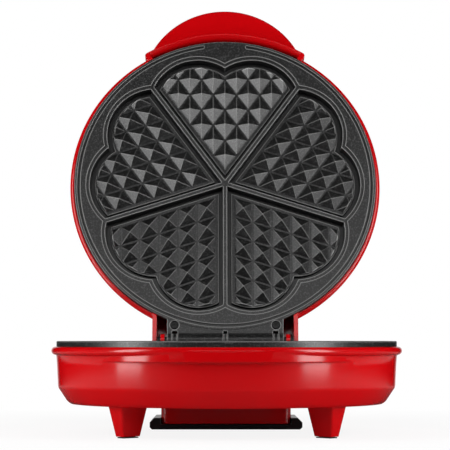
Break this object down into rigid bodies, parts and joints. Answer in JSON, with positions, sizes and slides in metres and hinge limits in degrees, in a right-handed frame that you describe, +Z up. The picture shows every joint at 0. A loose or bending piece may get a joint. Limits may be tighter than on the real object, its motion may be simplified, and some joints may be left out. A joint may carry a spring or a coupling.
{
  "type": "waffle maker",
  "caption": "Round waffle maker with heart-shaped grid plates, a hinged lid that leans back when open, small front feet and a rear block for wrapping the cord.",
  "frame": {"origin": "centre of the bounding box on the floor, lid open", "axes": "+Z up, front towards -Y, hinge axis along X at the rear"},
  "size_m": [0.21, 0.2936, 0.2855],
  "materials": {
    "housing": "glossy",
    "grid_plate": "non-stick coated",
    "reflector": "bright sheet",
    "steel": "zinc plated",
    "element": "satin tube",
    "black_plastic": "satin",
    "rubber": "matte",
    "white_lead": "satin",
    "black_lead": "satin",
    "terminal": "matte",
    "thermostat": "matte",
    "red_lens": "clear red",
    "green_lens": "clear green",
    "lamp": "clear"
  },
  "bodies": {
    "base": {"lower_housing": "housing", "lower_grid_plate": "grid_plate", "lower_reflector_pan": "reflector", "lower_heating_element": "element", "lower_element_clamp_1": "steel", "lower_element_clamp_2": "steel", "lower_element_clamp_3": "steel", "thermostat": "thermostat", "thermal_fuse": "steel", "terminal_block": "terminal", "mains_lead_live": "black_lead", "mains_lead_neutral": "black_lead", "element_lead_left": "white_lead", "element_lead_right": "white_lead", "cord_grommet": "rubber", "cord_wrap_cap": "black_plastic", "cord_wrap_screw_left": "steel", "cord_wrap_screw_right": "steel", "front_foot_pad_left": "rubber", "front_foot_pad_right": "rubber", "lower_plate_screw_1": "steel", "lower_plate_screw_2": "steel", "lower_plate_screw_3": "steel", "hinge_pin": "steel", "hinge_clip_left": "steel", "hinge_clip_right": "steel"},
    "lid": {"upper_housing": "housing", "upper_grid_plate": "grid_plate", "upper_reflector_pan": "reflector", "upper_heating_element": "element", "upper_element_clamp_1": "steel", "upper_element_clamp_2": "steel", "upper_element_clamp_3": "steel", "upper_pan_screw_1": "steel", "upper_pan_screw_2": "steel", "upper_pan_screw_3": "steel", "tab_screw_left": "steel", "tab_screw_right": "steel", "power_lens": "red_lens", "power_lamp": "lamp", "ready_lens": "green_lens", "ready_lamp": "lamp", "lid_lead_left": "white_lead", "lid_lead_right": "white_lead"}
  },
  "joints": [
    {"name": "lid_hinge", "type": "hinge", "parent": "base", "child": "lid", "pos_m": [0, 0.06727, 0.0557], "axis": [1, 0, 0], "range_deg": [0, 103]}
  ]
}
